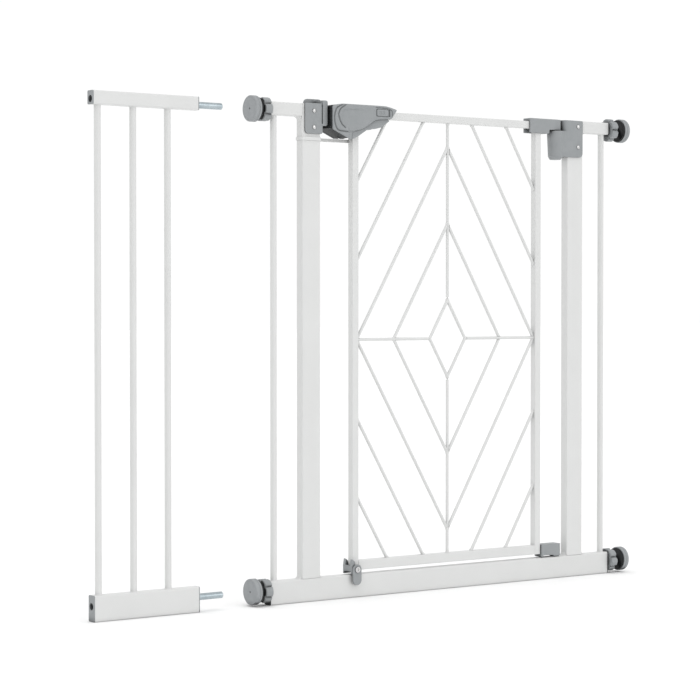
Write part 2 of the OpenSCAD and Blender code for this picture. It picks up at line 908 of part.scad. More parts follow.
module pad(gap) {
  color(grey)
    difference() {
      translate([knob_end + gap, 0, 0])
        rotate([0, 90, 0])
          rotate_extrude()
            polygon([
              [0, 0], [pad_d / 2 - 1, 0], [pad_d / 2, 1], [pad_d / 2, pad_t - 1],
              [pad_d / 2 - 1, pad_t], [0, pad_t]
            ]);
      rod_x(knob_end + gap - 1, knob_end + gap + 4, 0, 0, spindle_d + 0.1);
      rod_x(knob_end + gap + pad_t - 2, knob_end + gap + pad_t + 1, 0, 0, 2.4);
    }
}

module top_left_knob() { mount_at(-1, high_spindle_z) knob(0); }
module top_left_spindle() { mount_at(-1, high_spindle_z) spindle(left_pad_gap); }
module top_left_pad() { mount_at(-1, high_spindle_z) pad(left_pad_gap); }
module top_right_knob() { mount_at(1, high_spindle_z) knob(30); }
module top_right_spindle() { mount_at(1, high_spindle_z) spindle(right_pad_gap); }
module top_right_pad() { mount_at(1, high_spindle_z) pad(right_pad_gap); }
module bottom_left_knob() { mount_at(-1, low_spindle_z) knob(0); }
module bottom_left_spindle() { mount_at(-1, low_spindle_z) spindle(left_pad_gap); }
module bottom_left_pad() { mount_at(-1, low_spindle_z) pad(left_pad_gap); }
module bottom_right_knob() { mount_at(1, low_spindle_z) knob(10); }
module bottom_right_spindle() { mount_at(1, low_spindle_z) spindle(right_pad_gap); }
module bottom_right_pad() { mount_at(1, low_spindle_z) pad(right_pad_gap); }

// ---------- extension panel ----------

panel_left = panel_right - panel_w;
panel_pitch = (panel_w / 3);

module panel_top_tube() {
  color(coat)
    along_x(panel_left, panel_right)
      translate([0, gate_h - top_rail_h / 2])
        tube_section(frame_depth, top_rail_h, frame_wall);
}
module panel_bottom_tube() {
  color(coat)
    along_x(panel_left, panel_right)
      translate([0, panel_sill_h / 2])
        tube_section(frame_depth, panel_sill_h, frame_wall);
}
module panel_bars() {
  color(coat)
    for (i = [0 : 2])
      translate([panel_left + bar_d + i * panel_pitch, 0, panel_sill_h])
        cylinder(d = bar_d, h = gate_h - top_rail_h - panel_sill_h);
}
module panel_pegs() {
  color(zinc)
    for (z = [low_spindle_z, high_spindle_z])
      translate([panel_right - 16, 0, z])
        rotate([0, 90, 0])
          union() {
            cylinder(d = peg_d, h = 16 + peg_l - 1);
            translate([0, 0, 16 + peg_l - 1])
              cylinder(d1 = peg_d, d2 = peg_d - 2, h = 1);
          }
}
module panel_end_plugs() {
  socket = peg_d + 0.3;
  color(grey) {
    end_plug(panel_left, -1, panel_sill_h / 2, low_spindle_z, panel_sill_h, socket, 19);
    end_plug(panel_left, -1, gate_h - top_rail_h / 2, high_spindle_z, top_rail_h, socket, 19);
    end_plug(panel_right, 1, panel_sill_h / 2, low_spindle_z, panel_sill_h, peg_d + 0.1, 40);
    end_plug(panel_right, 1, gate_h - top_rail_h / 2, high_spindle_z, top_rail_h, peg_d + 0.1, 40);
  }
}

bottom_rail();
left_post();
right_post();
post_weld_fillets();
left_top_rail();
right_top_rail();
left_outer_bar();
right_outer_bar();
rail_end_plugs();
latch_catch();
catch_rivets();
door_stop_strip();
hinge_bracket();
hinge_rivets();
closer_spring();
lower_hinge_bush();
door_left_tube();
door_right_tube();
door_top_rail();
door_bottom_rail();
lattice_straight_rods();
inner_diamond();
middle_diamond();
outer_diamond();
corner_rods();
handle_front_shell();
handle_back_shell();
handle_core();
handle_screws();
lever_pin();
lever_spring();
door_top_bracket();
lower_hinge_block();
bottom_clip();
bracket_screws();
upper_hinge_pin();
lower_hinge_pin();
lock_bolt();
squeeze_lever();
thumb_slider();
stop_tab();
stop_tab_rivet();
top_left_knob();
top_left_spindle();
top_left_pad();
top_right_knob();
top_right_spindle();
top_right_pad();
bottom_left_knob();
bottom_left_spindle();
bottom_left_pad();
bottom_right_knob();
bottom_right_spindle();
bottom_right_pad();
panel_top_tube();
panel_bottom_tube();
panel_bars();
panel_pegs();
panel_end_plugs();
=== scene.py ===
"""Looks of the walk-through safety gate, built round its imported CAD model.

Names that end in _mm or _MM are millimetres; other lengths are metres."""

import json
import math

import bmesh
import bpy
import numpy as np
from mathutils import Matrix, Vector, noise


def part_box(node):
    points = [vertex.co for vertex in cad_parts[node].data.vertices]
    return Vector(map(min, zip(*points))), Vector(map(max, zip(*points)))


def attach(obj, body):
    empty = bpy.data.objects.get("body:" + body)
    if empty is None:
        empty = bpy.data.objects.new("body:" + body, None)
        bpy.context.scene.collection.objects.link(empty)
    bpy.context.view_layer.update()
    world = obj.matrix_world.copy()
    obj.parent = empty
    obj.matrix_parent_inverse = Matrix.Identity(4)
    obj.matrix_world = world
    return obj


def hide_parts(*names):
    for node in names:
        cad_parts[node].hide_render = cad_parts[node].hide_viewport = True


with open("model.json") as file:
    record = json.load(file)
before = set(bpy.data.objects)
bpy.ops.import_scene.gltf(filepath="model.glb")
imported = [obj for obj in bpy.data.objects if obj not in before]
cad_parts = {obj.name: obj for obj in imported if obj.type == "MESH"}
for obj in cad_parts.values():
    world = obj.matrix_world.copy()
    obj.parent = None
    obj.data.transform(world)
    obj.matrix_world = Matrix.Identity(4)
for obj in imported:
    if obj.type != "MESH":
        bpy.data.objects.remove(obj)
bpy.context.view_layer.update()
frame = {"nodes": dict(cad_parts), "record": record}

MM = 0.001
RECORD = frame["record"]
BODY_OF = {node: body for body, nodes in RECORD["behaviour"]["bodies"].items() for node in nodes}
SLOT_OF = {part["node"]: part["material_slot"] for part in RECORD["subparts"]}

# Datums of the gate, from the frame
GATE_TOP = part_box("left_top_rail")[1].z
DOOR_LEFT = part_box("door_left_tube")[0].x
FRONT_SHELL_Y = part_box("handle_front_shell")[0].y
BACK_SHELL_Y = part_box("handle_back_shell")[1].y
LATTICE_CENTRE = sum((Vector(corner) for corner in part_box("inner_diamond")), Vector()) / 2


# ---------- materials ----------

NOISE_SPREAD = (0.3, 0.7)  # the range that most of a noise texture's values lie in
OPEN_AIR_SPREAD = (0.25, 0.95)  # shares of open air between which the shade painted into corners fades out
OPEN_AIR_SAMPLES = 6
MOTTLE_DETAIL = 3
COAT_ROUGHNESS = 0.25
RING_SCALE = 350
RING_WOBBLE = 0.6
RING_DEPTH_MM = 0.01
RING_STRENGTH = 0.15


def noise_texture(tree, coords, scale, detail=2):
    """A 3-D noise of the given number of cells per metre, as its value socket."""
    node = tree.nodes.new("ShaderNodeTexNoise")
    node.inputs["Scale"].default_value = scale
    node.inputs["Detail"].default_value = detail
    tree.links.new(coords, node.inputs["Vector"])
    return node.outputs["Fac"]


def ranged(tree, value, low, high):
    """A noise value, spread from low to high."""
    node = tree.nodes.new("ShaderNodeMapRange")
    node.inputs["From Min"].default_value, node.inputs["From Max"].default_value = NOISE_SPREAD
    node.inputs["To Min"].default_value = low
    node.inputs["To Max"].default_value = high
    tree.links.new(value, node.inputs["Value"])
    return node.outputs["Result"]


def tinted(tree, value, low, high):
    """A colour between low and high, by value."""
    node = tree.nodes.new("ShaderNodeMix")
    node.data_type = "RGBA"
    node.inputs["A"].default_value = (*low, 1)
    node.inputs["B"].default_value = (*high, 1)
    tree.links.new(value, node.inputs["Factor"])
    return node.outputs["Result"]


def bumped(tree, layers):
    """Bump nodes in a row, one for each (height socket, depth in metres, strength)."""
    normal = None
    for height, depth, strength in layers:
        node = tree.nodes.new("ShaderNodeBump")
        node.inputs["Distance"].default_value = depth
        node.inputs["Strength"].default_value = strength
        tree.links.new(height, node.inputs["Height"])
        if normal:
            tree.links.new(normal, node.inputs["Normal"])
        normal = node.outputs["Normal"]
    return normal


def with_painted_shade(tree, colour, reach_mm, darkest):
    """colour, darkened where other surfaces crowd it: shade painted into corners and grooves by an occlusion
    node.
    """
    # painted shade: the base colour is multiplied down by ambient occlusion
    crowd = tree.nodes.new("ShaderNodeAmbientOcclusion")
    crowd.samples = OPEN_AIR_SAMPLES
    crowd.inputs["Distance"].default_value = reach_mm * MM
    open_air = tree.nodes.new("ShaderNodeMapRange")
    open_air.inputs["From Min"].default_value, open_air.inputs["From Max"].default_value = OPEN_AIR_SPREAD
    open_air.inputs["To Min"].default_value = darkest
    open_air.inputs["To Max"].default_value = 1.0
    tree.links.new(crowd.outputs["AO"], open_air.inputs["Value"])
    node = tree.nodes.new("ShaderNodeMix")
    node.data_type = "RGBA"
    node.blend_type = "MULTIPLY"
    node.inputs["Factor"].default_value = 1.0
    tree.links.new(colour, node.inputs["A"])
    tree.links.new(open_air.outputs["Result"], node.inputs["B"])
    return node.outputs["Result"]


def finish_material(name, low, high, roughness, grains, mottle, metallic=0.0, specular=0.5, coat=0.0,
                    corner_shade=None):
    """A surface whose colour wanders from low to high, mottle cells per metre, with bumps.

    grains are the bump layers, as (cells per metre, depth in mm, strength). The last argument, if given, is
    (reach in mm, darkest share) of the shade painted into its corners and grooves."""
    made = bpy.data.materials.new(name)
    made.use_nodes = True
    tree = made.node_tree
    shader = tree.nodes["Principled BSDF"]
    coords = tree.nodes.new("ShaderNodeTexCoord").outputs["Object"]
    broad = noise_texture(tree, coords, mottle, detail=MOTTLE_DETAIL)
    fine = noise_texture(tree, coords, grains[0][0])
    colour = tinted(tree, ranged(tree, broad, 0, 1), low, high)
    # painted shade: base colour darkened in corners and grooves by ambient occlusion
    if corner_shade:
        colour = with_painted_shade(tree, colour, *corner_shade)
    tree.links.new(colour, shader.inputs["Base Color"])
    tree.links.new(ranged(tree, fine, roughness[0], roughness[1]), shader.inputs["Roughness"])
    layers = [(noise_texture(tree, coords, cells), depth * MM, strength) for cells, depth, strength in grains]
    tree.links.new(bumped(tree, layers), shader.inputs["Normal"])
    shader.inputs["Metallic"].default_value = metallic
    shader.inputs["Specular IOR Level"].default_value = specular
    shader.inputs["Coat Weight"].default_value = coat
    shader.inputs["Coat Roughness"].default_value = COAT_ROUGHNESS
    return made


def turned_metal(name, low, high, roughness):
    """Bright metal with faint rings, as turning or wire drawing leaves them."""
    # the last argument paints shade round the metal where other surfaces crowd it
    made = finish_material(name, low, high, roughness, [(900, 0.01, 0.2)], metallic=1.0, mottle=120,
                           corner_shade=(2.5, 0.25))
    tree = made.node_tree
    coords = tree.nodes.new("ShaderNodeTexCoord").outputs["Object"]
    wave = tree.nodes.new("ShaderNodeTexWave")
    wave.wave_type = "RINGS"
    wave.rings_direction = "SPHERICAL"
    wave.inputs["Scale"].default_value = RING_SCALE
    wave.inputs["Distortion"].default_value = RING_WOBBLE
    tree.links.new(coords, wave.inputs["Vector"])
    bump = tree.nodes.new("ShaderNodeBump")
    bump.inputs["Distance"].default_value = RING_DEPTH_MM * MM
    bump.inputs["Strength"].default_value = RING_STRENGTH
    tree.links.new(wave.outputs["Fac"], bump.inputs["Height"])
    shader = tree.nodes["Principled BSDF"]
    tree.links.new(shader.inputs["Normal"].links[0].from_socket, bump.inputs["Normal"])
    tree.links.new(bump.outputs["Normal"], shader.inputs["Normal"])
    return made


def all_materials():
    """One material for each slot of the record."""
    return {
        # the last argument of each paints shade into corners and grooves: reach in mm, then the darkest share
        # of the colour
        "white_coat": finish_material(
            "white_powder_coat", (0.64, 0.645, 0.64), (0.66, 0.665, 0.66), (0.34, 0.44),
            [(700, 0.05, 0.35), (2600, 0.012, 0.3)], specular=0.45, coat=0.15, mottle=18, corner_shade=(7, 0.8)),
        "grey_plastic": finish_material(
            "grey_moulded_plastic", (0.266, 0.281, 0.289), (0.290, 0.304, 0.312), (0.42, 0.56),
            [(2400, 0.03, 0.45), (5200, 0.012, 0.4)], specular=0.42, mottle=60, corner_shade=(11, 0.08)),
        "dark_plastic": finish_material(
            "dark_moulded_plastic", (0.016, 0.018, 0.019), (0.024, 0.027, 0.029), (0.42, 0.55),
            [(2200, 0.03, 0.4), (5000, 0.012, 0.4)], specular=0.25, mottle=70, corner_shade=(10, 0.2)),
        "pad_rubber": finish_material(
            "pad_elastomer", (0.288, 0.302, 0.312), (0.320, 0.334, 0.344), (0.62, 0.78),
            [(1500, 0.05, 0.5), (4200, 0.02, 0.5)], specular=0.35, mottle=90, corner_shade=(10, 0.12)),
        "black_steel": finish_material(
            "black_threaded_steel", (0.012, 0.013, 0.014), (0.022, 0.024, 0.026), (0.30, 0.45),
            [(1800, 0.01, 0.3)], metallic=0.6, mottle=150),
        "bright_steel": turned_metal("bright_nickel", (0.56, 0.56, 0.56), (0.68, 0.68, 0.68), (0.14, 0.22)),
        "spring_steel": turned_metal("spring_wire", (0.34, 0.34, 0.35), (0.46, 0.46, 0.47), (0.28, 0.42)),
        "zinc_steel": turned_metal("blue_white_zinc", (0.37, 0.43, 0.46), (0.48, 0.54, 0.57), (0.24, 0.38)),
    }


MATERIALS = all_materials()


# ---------- making pieces ----------

SEAM_MM = 0.002  # split edges of the CAD meshes lie nearer to each other than this
SMOOTHING = 0.5


def new_piece(name, bm, material, smooth=True):
    """An object from a bmesh, in the row frame, with its normals outwards."""
    bmesh.ops.recalc_face_normals(bm, faces=bm.faces)
    mesh = bpy.data.meshes.new(name)
    bm.to_mesh(mesh)
    bm.free()
    mesh.polygons.foreach_set("use_smooth", [smooth] * len(mesh.polygons))
    piece = bpy.data.objects.new(name, mesh)
    bpy.context.scene.collection.objects.link(piece)
    mesh.materials.append(MATERIALS[material])
    return piece


def stand_in(piece, *nodes):
    """piece takes the place of these CAD nodes of one body."""
    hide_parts(*nodes)
    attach(piece, BODY_OF[nodes[0]])
    return piece


def baked(piece):
    """piece with its modifiers applied."""
    graph = bpy.context.evaluated_depsgraph_get()
    made = bpy.data.meshes.new_from_object(piece.evaluated_get(graph))
    piece.modifiers.clear()
    old = piece.data
    piece.data = made
    bpy.data.meshes.remove(old)
    return piece


def closed_copy(node):
    """A bmesh of a CAD node with its split edges joined, so that it is watertight."""
    bm = bmesh.new()
    bm.from_mesh(frame["nodes"][node].data)
    bmesh.ops.remove_doubles(bm, verts=bm.verts, dist=SEAM_MM * MM)
    return bm


def moulded(node, name, voxel_mm, rounds, shape=None):
    """The node as a moulded piece: an even skin, its edges rounded by smoothing, then bent by shape(points)."""
    piece = new_piece(name, closed_copy(node), SLOT_OF[node])
    remesh = piece.modifiers.new("skin", "REMESH")
    remesh.mode = "VOXEL"
    remesh.voxel_size = voxel_mm * MM
    remesh.use_smooth_shade = True
    smooth = piece.modifiers.new("rounding", "SMOOTH")
    smooth.factor = SMOOTHING
    smooth.iterations = rounds
    baked(piece)
    if shape:
        points = np.zeros(len(piece.data.vertices) * 3)
        piece.data.vertices.foreach_get("co", points)
        points = shape(points.reshape(-1, 3))
        piece.data.vertices.foreach_set("co", points.ravel())
    piece.data.polygons.foreach_set("use_smooth", [True] * len(piece.data.polygons))
    piece.data.materials.clear()
    piece.data.materials.append(MATERIALS[SLOT_OF[node]])
    return stand_in(piece, node)


def skin_rings(bm, rings):
    """Joins each ring of vertices to the next one and closes both ends."""
    for low, high in zip(rings, rings[1:]):
        for i in range(len(low)):
            j = (i + 1) % len(low)
            bm.faces.new((low[i], low[j], high[j], high[i]))
    bm.faces.new(rings[0])
    bm.faces.new(rings[-1])


def add_revolved(bm, stations, place, segments=96, radius=None):
    """A closed solid of revolution, placed by a matrix whose Z is its axis.

    stations are (distance along, radius) in mm. radius(r, turn, along) may bend the round section at each
    angle."""
    rings = []
    for along, r in stations:
        ring = []
        for i in range(segments):
            turn = 2 * math.pi * i / segments
            reach = radius(r, turn, along) if radius else r
            ring.append(bm.verts.new(place @ Vector((reach * math.cos(turn), reach * math.sin(turn), along))))
        rings.append(ring)
    skin_rings(bm, rings)


def axis_along(point, direction):
    """Matrix that takes mm along Z to metres along direction from point."""
    turn = Vector((0, 0, 1)).rotation_difference(Vector(direction)).to_matrix().to_4x4()
    return Matrix.Translation(point) @ turn @ Matrix.Scale(MM, 4)


def add_arc(stations, centre, radius, start_deg, end_deg, steps=5):
    """Appends the stations of an arc in (along, radius), for rounded rims."""
    for i in range(steps + 1):
        turn = math.radians(start_deg + (end_deg - start_deg) * i / steps)
        stations.append((centre[0] + radius * math.cos(turn), centre[1] + radius * math.sin(turn)))


# ---------- relief of the handle ----------

def smooth_path(points, steps=12):
    """A Catmull-Rom curve through points, as an array."""
    p = np.array([points[0], *points, points[-1]], float)
    out = []
    for a, b, c, d in zip(p, p[1:], p[2:], p[3:]):
        for t in np.linspace(0, 1, steps, endpoint=False):
            out.append(0.5 * (2 * b + (c - a) * t + (2 * a - 5 * b + 4 * c - d) * t**2
                              + (3 * b - a - 3 * c + d) * t**3))
    out.append(p[-1])
    return np.array(out)


def distance_to(path, at):
    """Distance from each point of at to the polyline path."""
    best = np.full(len(at), 1e9)
    for a, b in zip(path, path[1:]):
        side = b - a
        share = np.clip(((at - a) @ side) / max(side @ side, 1e-12), 0, 1)
        best = np.minimum(best, np.linalg.norm(at - a - share[:, None] * side, axis=1))
    return best


def inside(polygon, at):
    """Whether each point of at lies in the polygon."""
    found = np.zeros(len(at), bool)
    for a, b in zip(polygon, np.roll(polygon, -1, axis=0)):
        crosses = (a[1] > at[:, 1]) != (b[1] > at[:, 1])
        x = a[0] + (at[:, 1] - a[1]) / (b[1] - a[1] + 1e-12) * (b[0] - a[0])
        found ^= crosses & (at[:, 0] < x)
    return found


def soft_step(distance, width):
    """0 below zero, 1 past width, smooth between."""
    t = np.clip(distance / width, 0, 1)
    return t * t * (3 - 2 * t)


# Lines of the front shell, in mm from the door's left edge and the top of the gate
RING_PATH = [(-25, 1.5), (-38, -4), (-42.8, -14), (-42.8, -27), (-37.5, -37.5), (-26, -40), (-9, -40)]
CREASE_PATH = [(-20, 1.5), (-31, -5), (-35.5, -13), (-34, -21), (-29.5, -29), (-23, -34)]
PANEL_PATH = [(-14, -5.6), (-24, -7), (-30, -13.5), (-29, -21.5), (-24.5, -28.5), (-17, -33)]
THUMB_PATH = [(35, -0.9), (50, -1.1), (60, -2.0), (65.5, -4.5), (66.8, -8), (66.4, -13)]
SHELL_RIM_MM = 2.6
DEEPEST_MM = 1.9
RELIEF_REACH_MM = 2.4  # how far behind the front face the relief dies out

# Grooves along those lines, as (depth, half width) in mm
RING_GROOVE = (2.2, 0.9)
CREASE_GROOVE = (1.5, 0.8)
PANEL_GROOVE = (0.5, 0.7)
THUMB_GROOVE = (1.3, 0.6)

# Steps in the face beside them: depth in mm, then the width in mm over which it is reached
RING_STEP, RING_LEDGE_MM = (0.6, 1.2), 0.6
CREASE_STEP = (0.4, 4)
PANEL_STEP = (0.9, 1.2)
PANEL_FADE_FROM_MM, PANEL_FADE_OVER_MM = 20, 35


def groove(distance, size):
    """Depth of a round-bottomed groove of (depth, half width) at a distance from its line."""
    depth, half_width = size
    return depth * np.exp(-(distance / half_width) ** 2)


def shell_outline():
    """The silhouette of the handle's housing, in mm from the door's left edge and the top of the gate."""
    return np.array([
        (-46.7, -36), (-45.6, -38), (-11.2, -52.6), (-10.2, -51.6), (-8.9, -41.5), (-5, -39), (4, -37.2),
        (13, -34), (24, -28), (33, -21.6), (40, -19.8), (50, -18.6), (63, -17.9), (67, -16.3), (76.6, -3.6),
        (75.6, -2), (66, 0.6), (56, 2.4), (40, 2.6), (-28, 2.4), (-38, 1), (-46, -1), (-46.7, -3)])


def plane_coords(points):
    """(X, Z) of points, in mm from the door's left edge and the top of the gate."""
    return np.column_stack(((points[:, 0] - DOOR_LEFT) / MM, (points[:, 2] - GATE_TOP) / MM))


def round_rim(points, face_y, rim_mm):
    """points, with the edge between the housing's flat face and its side walls rounded."""
    outline = shell_outline()
    side = 1 if face_y > 0 else -1
    at = plane_coords(points)
    depth = (face_y - points[:, 1]) * side / MM
    near = depth < rim_mm
    closed = np.vstack((outline, outline[:1]))
    edge = distance_to(closed, at)
    step = 0.05
    is_inside = inside(outline, at)
    gradient = np.column_stack((
        distance_to(closed, at + (step, 0)) - distance_to(closed, at - (step, 0)),
        distance_to(closed, at + (0, step)) - distance_to(closed, at - (0, step))))
    gradient /= np.maximum(np.linalg.norm(gradient, axis=1), 1e-9)[:, None]
    edge = np.where(is_inside, edge, -edge)
    gradient = np.where(is_inside[:, None], gradient, -gradient)
    across, down = rim_mm - edge, rim_mm - np.maximum(depth, 0)
    reach = np.hypot(across, down)
    moved = near & (across > 0) & (down > 0) & (reach > rim_mm)
    pull = np.where(moved, 1 - rim_mm / np.maximum(reach, 1e-9), 0)
    shift = gradient * (across * pull)[:, None]
    points = points.copy()
    points[:, 0] += shift[:, 0] * MM
    points[:, 2] += shift[:, 1] * MM
    points[:, 1] -= side * down * pull * MM
    return points


def front_relief(points):
    """Rounded rim, groove round the left end, crease inside it, sunk grip panel and groove round the slider."""
    points = round_rim(points, FRONT_SHELL_Y, SHELL_RIM_MM)
    at = plane_coords(points)
    ring, crease, panel, thumb = (
        smooth_path(path) for path in (RING_PATH, CREASE_PATH, PANEL_PATH, THUMB_PATH))
    ring_body = np.vstack((ring, [(100, -40), (100, 30), (-25, 30)]))
    crease_body = np.vstack((crease, [(-23, -100), (100, -100), (100, 30), (-20, 30)]))
    to_ring, to_crease, to_panel, to_thumb = (distance_to(path, at) for path in (ring, crease, panel, thumb))
    in_panel = inside(np.vstack((panel, [(-17, -100), (100, -100), (100, -5.6)])), at)
    sunk = groove(to_ring, RING_GROOVE)
    depth, width = RING_STEP
    sunk += depth * np.where(inside(ring_body, at), 0, soft_step(to_ring - RING_LEDGE_MM, width))
    sunk += groove(to_crease, CREASE_GROOVE)
    depth, width = CREASE_STEP
    sunk += depth * np.where(inside(crease_body, at), 0, soft_step(width - to_crease, width))
    fade = np.clip((PANEL_FADE_FROM_MM - at[:, 0]) / PANEL_FADE_OVER_MM, 0, 1)
    depth, width = PANEL_STEP
    sunk += depth * fade * np.where(in_panel, soft_step(to_panel, width), 0)
    sunk += fade * groove(to_panel, PANEL_GROOVE)
    sunk += groove(to_thumb, THUMB_GROOVE)
    sunk = np.minimum(sunk, DEEPEST_MM)
    front = np.clip(1 - (points[:, 1] - FRONT_SHELL_Y) / (RELIEF_REACH_MM * MM), 0, 1)
    points[:, 1] += sunk * front * MM
    return points


def back_relief(points):
    """The back shell's rounded rim."""
    return round_rim(points, BACK_SHELL_Y, SHELL_RIM_MM)


# ---------- pieces: handle, catch, hinge and clip ----------

def plastic_pieces():
    """Each moulded part of the handle, catch, hinge and clip."""
    moulded("handle_front_shell", "handle_front", 0.5, 4, front_relief)
    moulded("handle_back_shell", "handle_back", 0.55, 4, back_relief)
    moulded("handle_core", "handle_casing", 0.35, 2)
    moulded("squeeze_lever", "lever", 0.55, 6)
    moulded("thumb_slider", "slider", 0.3, 6)
    moulded("lock_bolt", "bolt", 0.5, 4)
    moulded("latch_catch", "catch", 0.4, 5)
    moulded("hinge_bracket", "hinge_shell", 0.55, 9)
    moulded("door_top_bracket", "top_bracket", 0.55, 7)
    moulded("lower_hinge_block", "hinge_foot", 0.5, 8)
    moulded("lower_hinge_bush", "hinge_bush", 0.4, 4)
    moulded("bottom_clip", "clip", 0.45, 5)
    moulded("stop_tab", "turn_tab", 0.4, 6)


# ---------- pieces: pressure mounts ----------

KNOB_LOBES = 6
LOBE_DEPTH_MM = 3.4
LOBE_HALF_TURN = math.radians(10)
LOBE_CROWN_MM = 0.9
LOBE_BAND_MM, LOBE_FADE_MM = 5, 2.5  # how far in from the rim the lobes reach, and fade out over
FLARE_AT_BACK, FLARE_TO_FRONT = 0.55, 0.9
BORE_MM = 5.1
PITCH_STEPS = 10
THREAD_PITCH_MM = 2.5
THREAD_DEPTH_MM = 0.6
THREAD_CREST_MM = 5.0
THREAD_STEEPNESS = 2.6
THREAD_LEAD_MM = 0.8  # the chamfer at the thread's inner end
PLATE_MM, BOSS_MM = 3, 3.5
AXIS_MM = 0.01  # a round end closes on a ring this small


def mount_size(node):
    """(placing matrix, length, radius) in mm of a piece of a pressure mount, from its inner end outwards."""
    low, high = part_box(node)
    side = 1 if low.x > 0 else -1
    inner = Vector((low.x if side > 0 else high.x, 0, (low.z + high.z) / 2))
    return axis_along(inner, Vector((side, 0, 0))), (high.x - low.x) / MM, (high.z - low.z) / 2 / MM


def knob_piece(name, turn_deg):
    """A six-lobed adjusting wheel with V grooves and a dished outer face."""
    place, length, rim = mount_size(name)
    bore = BORE_MM
    bm = bmesh.new()
    stations = [(0.6, bore), (0.0, bore + 0.6), (0.0, rim - 3)]
    add_arc(stations, (1.4, rim - 1.4), 1.4, 180, 90)
    add_arc(stations, (length - 2.2, rim - 2.2), 2.2, 90, 15)
    stations += [(length - 0.25, rim - 3.6), (length - 0.8, rim - 4.4), (length - 2.0, rim - 5.2)]
    stations += [(length - 2.4, rim - 6.6), (length - 2.4, bore + 4.4), (length - 1.2, bore + 3.2)]
    stations += [(length - 0.6, bore + 2.6), (length - 0.6, bore + 0.6), (length - 1.2, bore)]

    def lobed(r, turn, along):
        share = min(max((r - (rim - LOBE_BAND_MM)) / LOBE_FADE_MM, 0), 1)
        flare = FLARE_AT_BACK + FLARE_TO_FRONT * along / length
        turned = turn - math.radians(turn_deg)
        off = turned % (2 * math.pi / KNOB_LOBES) - math.pi / KNOB_LOBES
        off = abs(math.pi / KNOB_LOBES - abs(off)) / (LOBE_HALF_TURN * flare)
        notch = max(0.0, 1 - off)
        crown = LOBE_CROWN_MM * (1 - math.cos(KNOB_LOBES * turned)) / 2
        return r - share * (LOBE_DEPTH_MM * notch + LOBE_CROWN_MM - crown)

    add_revolved(bm, stations, place, segments=360, radius=lobed)
    # the two end caps give way to the wall of the bore
    bmesh.ops.delete(bm, geom=[f for f in bm.faces if len(f.verts) > 4], context="FACES_ONLY")
    ends = [e for e in bm.edges if e.is_boundary]
    bmesh.ops.bridge_loops(bm, edges=ends)
    return stand_in(new_piece(name + "_wheel", bm, "grey_plastic"), name)


def spindle_piece(name):
    """A threaded spindle with the round back plate that carries the pad."""
    place, length, plate_r = mount_size(name)
    plate_back = length - BOSS_MM - PLATE_MM
    bm = bmesh.new()
    segments, step = 48, THREAD_PITCH_MM / PITCH_STEPS
    count = int((plate_back + 1) / step)
    rings = []
    for k in range(count + 1):
        along = k * step
        ring = []
        for i in range(segments):
            turn = 2 * math.pi * i / segments
            phase = (along / THREAD_PITCH_MM - turn / (2 * math.pi)) % 1
            depth = THREAD_DEPTH_MM * min(1.0, THREAD_STEEPNESS * abs(phase - 0.5))
            if along <= THREAD_LEAD_MM:
                depth = THREAD_DEPTH_MM + 0.5 * (THREAD_LEAD_MM - along)
            reach = THREAD_CREST_MM - depth
            ring.append(bm.verts.new(place @ Vector((reach * math.cos(turn), reach * math.sin(turn), along))))
        rings.append(ring)
    skin_rings(bm, rings)
    stations = [(plate_back, AXIS_MM), (plate_back, plate_r - 0.8)]
    add_arc(stations, (plate_back + 0.8, plate_r - 0.8), 0.8, 180, 90, 4)
    add_arc(stations, (plate_back + 2.4, plate_r - 0.6), 0.6, 90, 0, 3)
    stations += [(plate_back + PLATE_MM, 5), (length, 4.9), (length, AXIS_MM)]
    add_revolved(bm, stations, place)
    return stand_in(new_piece(name + "_thread", bm, "black_steel"), name)


def pad_piece(name):
    """A wall pad: a disc with rounded rims, a shallow ring near its edge and a small hole in the middle."""
    place, length, rim = mount_size(name)
    bm = bmesh.new()
    stations = [(0, BORE_MM), (0, rim - 1.2)]
    add_arc(stations, (1.2, rim - 1.2), 1.2, 180, 90)
    stations += [(3.4, rim), (3.7, rim - 0.35), (4.3, rim - 0.35), (4.6, rim)]
    add_arc(stations, (length - 1.3, rim - 1.3), 1.3, 90, 0)
    stations += [(length, rim - 2.1), (length - 0.18, rim - 2.5), (length - 0.18, rim - 2.9)]
    stations += [(length, rim - 3.3), (length, 1.7), (length - 0.4, 1.2)]
    stations += [(length - 2, 1.1), (length - 2, AXIS_MM)]
    add_revolved(bm, stations, place)
    return stand_in(new_piece(name + "_disc", bm, "pad_rubber"), name)


def mounts():
    """The four pressure mounts; each wheel's lobes stand at its own angle."""
    for name, turn in (("top_left", 0), ("top_right", 30), ("bottom_left", 0), ("bottom_right", 10)):
        knob_piece(name + "_knob", turn)
        spindle_piece(name + "_spindle")
        pad_piece(name + "_pad")


# ---------- pieces: springs and welds ----------

COIL_SIDES, STEPS_A_TURN = 10, 36
BAR_R_MM = 5.0
ROD_R_MM = 2.5
BEAD_MM = 1.3
BEAD_ROOT_MM = 0.4  # how deep a bead reaches into the bar and the face
NUGGET_MM = (3.3, 2.9, 3.6)


